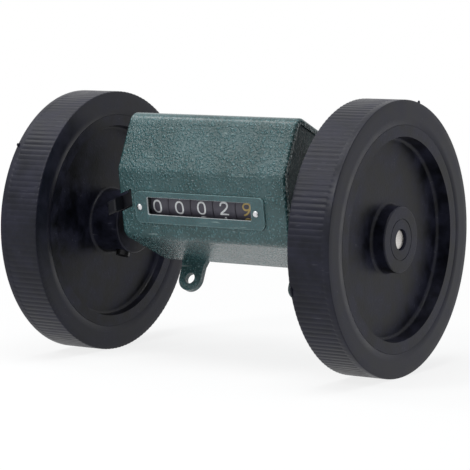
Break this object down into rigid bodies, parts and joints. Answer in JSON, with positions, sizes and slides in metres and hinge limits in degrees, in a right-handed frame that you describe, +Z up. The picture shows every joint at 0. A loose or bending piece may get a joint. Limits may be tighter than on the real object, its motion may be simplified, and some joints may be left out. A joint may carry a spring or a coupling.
{
  "type": "cable length counter",
  "caption": "Cable length counter: ribbed rubber measuring wheels on a shaft drive geared number drums in a cast housing with riveted window, reset slide and mounting ears.",
  "frame": {"origin": "on the wheel shaft's axis, midway between the two wheels, which is the centre of the overall box", "axes": "+X along the shaft to the driven end, on the right when facing the window; +Y to the back; +Z up, with the window facing -Y as in the picture"},
  "size_m": [0.1518, 0.1062, 0.1062],
  "materials": {
    "hammertone_green": "semi-gloss hammertone paint",
    "bright_rivet": "bright domed rivet",
    "screw_steel": "plated screw",
    "plate_steel": "plain sheet",
    "shaft_steel": "ground bar",
    "bush_bronze": "sintered bush",
    "gear_brass": "cut gear",
    "drum_black": "matt number drum",
    "pinion_white": "nylon pinion",
    "wheel_black": "satin moulding",
    "tread_rubber": "matt ribbed rubber",
    "slide_black": "satin moulding",
    "spring_steel": "drawn wire"
  },
  "bodies": {
    "housing": {"housing_shell": "hammertone_green", "left_end_plate": "hammertone_green", "right_end_plate": "hammertone_green", "left_bush": "bush_bronze", "right_bush": "bush_bronze", "plate_screws": "screw_steel", "window_bezel": "hammertone_green", "bezel_rivets": "bright_rivet", "left_frame_plate": "plate_steel", "right_frame_plate": "plate_steel", "frame_spacer": "plate_steel", "frame_stay": "plate_steel", "stay_screws": "screw_steel", "drum_rod": "shaft_steel", "rod_clips": "shaft_steel", "pinion_carrier_1": "plate_steel", "pinion_carrier_2": "plate_steel", "pinion_carrier_3": "plate_steel", "pinion_carrier_4": "plate_steel", "slide_keeper": "plate_steel", "reset_spring": "spring_steel"},
    "wheelset": {"main_shaft": "shaft_steel", "shaft_collars": "shaft_steel", "hub_screws": "screw_steel", "left_wheel": "wheel_black", "right_wheel": "wheel_black", "left_tyre": "tread_rubber", "right_tyre": "tread_rubber", "shaft_gear": "gear_brass"},
    "idler": {"idler_gear": "gear_brass", "idler_pinion": "gear_brass", "idler_arbor": "shaft_steel"},
    "tenths": {"tenths_drum": "drum_black", "drum_gear": "gear_brass"},
    "units": {"units_drum": "drum_black"},
    "tens": {"tens_drum": "drum_black"},
    "hundreds": {"hundreds_drum": "drum_black"},
    "thousands": {"thousands_drum": "drum_black"},
    "pinion_1": {"transfer_pinion_1": "pinion_white"},
    "pinion_2": {"transfer_pinion_2": "pinion_white"},
    "pinion_3": {"transfer_pinion_3": "pinion_white"},
    "pinion_4": {"transfer_pinion_4": "pinion_white"},
    "slide": {"reset_slide": "slide_black"},
    "bar": {"reset_bar": "plate_steel"}
  },
  "joints": [
    {"name": "wheel_spin", "type": "hinge", "parent": "housing", "child": "wheelset", "pos_m": [0, 0, 0], "axis": [1, 0, 0], "continuous": true},
    {"name": "idler_spin", "type": "hinge", "parent": "housing", "child": "idler", "pos_m": [0, 0.00178, 0.01791], "axis": [1, 0, 0], "continuous": true},
    {"name": "tenths_spin", "type": "hinge", "parent": "housing", "child": "tenths", "pos_m": [0, -0.01007, 0.01145], "axis": [1, 0, 0], "continuous": true},
    {"name": "units_spin", "type": "hinge", "parent": "housing", "child": "units", "pos_m": [0, -0.01007, 0.01145], "axis": [1, 0, 0], "continuous": true},
    {"name": "tens_spin", "type": "hinge", "parent": "housing", "child": "tens", "pos_m": [0, -0.01007, 0.01145], "axis": [1, 0, 0], "continuous": true},
    {"name": "hundreds_spin", "type": "hinge", "parent": "housing", "child": "hundreds", "pos_m": [0, -0.01007, 0.01145], "axis": [1, 0, 0], "continuous": true},
    {"name": "thousands_spin", "type": "hinge", "parent": "housing", "child": "thousands", "pos_m": [0, -0.01007, 0.01145], "axis": [1, 0, 0], "continuous": true},
    {"name": "pinion_1_spin", "type": "hinge", "parent": "housing", "child": "pinion_1", "pos_m": [0, -0.01022, 0.01705], "axis": [1, 0, 0], "continuous": true},
    {"name": "pinion_2_spin", "type": "hinge", "parent": "housing", "child": "pinion_2", "pos_m": [0, -0.01022, 0.01705], "axis": [1, 0, 0], "continuous": true},
    {"name": "pinion_3_spin", "type": "hinge", "parent": "housing", "child": "pinion_3", "pos_m": [0, -0.01022, 0.01705], "axis": [1, 0, 0], "continuous": true},
    {"name": "pinion_4_spin", "type": "hinge", "parent": "housing", "child": "pinion_4", "pos_m": [0, -0.01022, 0.01705], "axis": [1, 0, 0], "continuous": true},
    {"name": "reset_slide_move", "type": "slide", "parent": "housing", "child": "slide", "axis": [0.9135, -0.0613, 0.4021], "range_m": [0, 0.005], "stiffness_N_per_m": 150, "springref_m": -0.001},
    {"name": "reset_bar_move", "type": "slide", "parent": "housing", "child": "bar", "axis": [1, 0, 0], "range_m": [-0.0001, 0.0047], "deforming": ["reset_spring"]}
  ],
  "couplings": [
    {"joint": "idler_spin", "follows": "wheel_spin", "ratio": -0.66667},
    {"joint": "tenths_spin", "follows": "wheel_spin", "ratio": 0.33333},
    {"joint": "units_spin", "follows": "wheel_spin", "ratio": 0.033333},
    {"joint": "tens_spin", "follows": "wheel_spin", "ratio": 0.0033333},
    {"joint": "hundreds_spin", "follows": "wheel_spin", "ratio": 0.00033333},
    {"joint": "thousands_spin", "follows": "wheel_spin", "ratio": 0.000033333},
    {"joint": "pinion_1_spin", "follows": "wheel_spin", "ratio": 0.11111},
    {"joint": "pinion_2_spin", "follows": "wheel_spin", "ratio": 0.011111},
    {"joint": "pinion_3_spin", "follows": "wheel_spin", "ratio": 0.0011111},
    {"joint": "pinion_4_spin", "follows": "wheel_spin", "ratio": 0.00011111},
    {"joint": "reset_bar_move", "follows": "reset_slide_move", "ratio": 0.91355}
  ]
}
